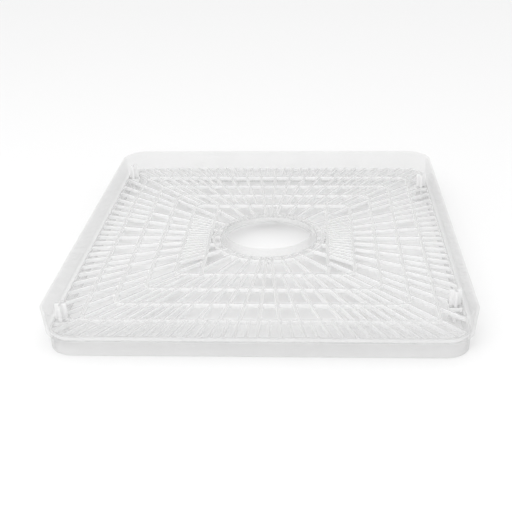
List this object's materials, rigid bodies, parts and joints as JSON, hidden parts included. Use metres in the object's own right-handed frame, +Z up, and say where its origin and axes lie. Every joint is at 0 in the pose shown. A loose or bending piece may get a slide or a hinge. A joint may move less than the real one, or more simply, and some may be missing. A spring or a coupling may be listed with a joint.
{
  "type": "food dehydrator tray",
  "caption": "Clear rectangular stacking tray of a food dehydrator: low wall, nesting skirt, grille deck of rings and radial ribs round a collared centre hole, corner stacking posts.",
  "frame": {"origin": "on the surface the tray stands on, straight under the middle of the centre hole", "axes": "+Z up, +Y along the longer side (front to back), +X across"},
  "size_m": [0.298, 0.34, 0.0312],
  "materials": {
    "clear_plastic": "polished, clear"
  },
  "bodies": {
    "root": {"upper_wall_left": "clear_plastic", "upper_wall_right": "clear_plastic", "upper_wall_front": "clear_plastic", "upper_wall_rear": "clear_plastic", "upper_wall_corner_front_left": "clear_plastic", "upper_wall_corner_front_right": "clear_plastic", "upper_wall_corner_rear_left": "clear_plastic", "upper_wall_corner_rear_right": "clear_plastic", "seat_ledge": "clear_plastic", "nesting_skirt": "clear_plastic", "hub_collar": "clear_plastic", "hub_ring": "clear_plastic", "hub_side_panel_left": "clear_plastic", "hub_side_panel_right": "clear_plastic", "deck_band_1": "clear_plastic", "deck_band_2": "clear_plastic", "deck_band_3": "clear_plastic", "deck_band_4": "clear_plastic", "stacking_post_front_left": "clear_plastic", "stacking_foot_front_left": "clear_plastic", "stacking_post_rear_left": "clear_plastic", "stacking_foot_rear_left": "clear_plastic", "stacking_post_front_right": "clear_plastic", "stacking_foot_front_right": "clear_plastic", "stacking_post_rear_right": "clear_plastic", "stacking_foot_rear_right": "clear_plastic"}
  },
  "joints": []
}
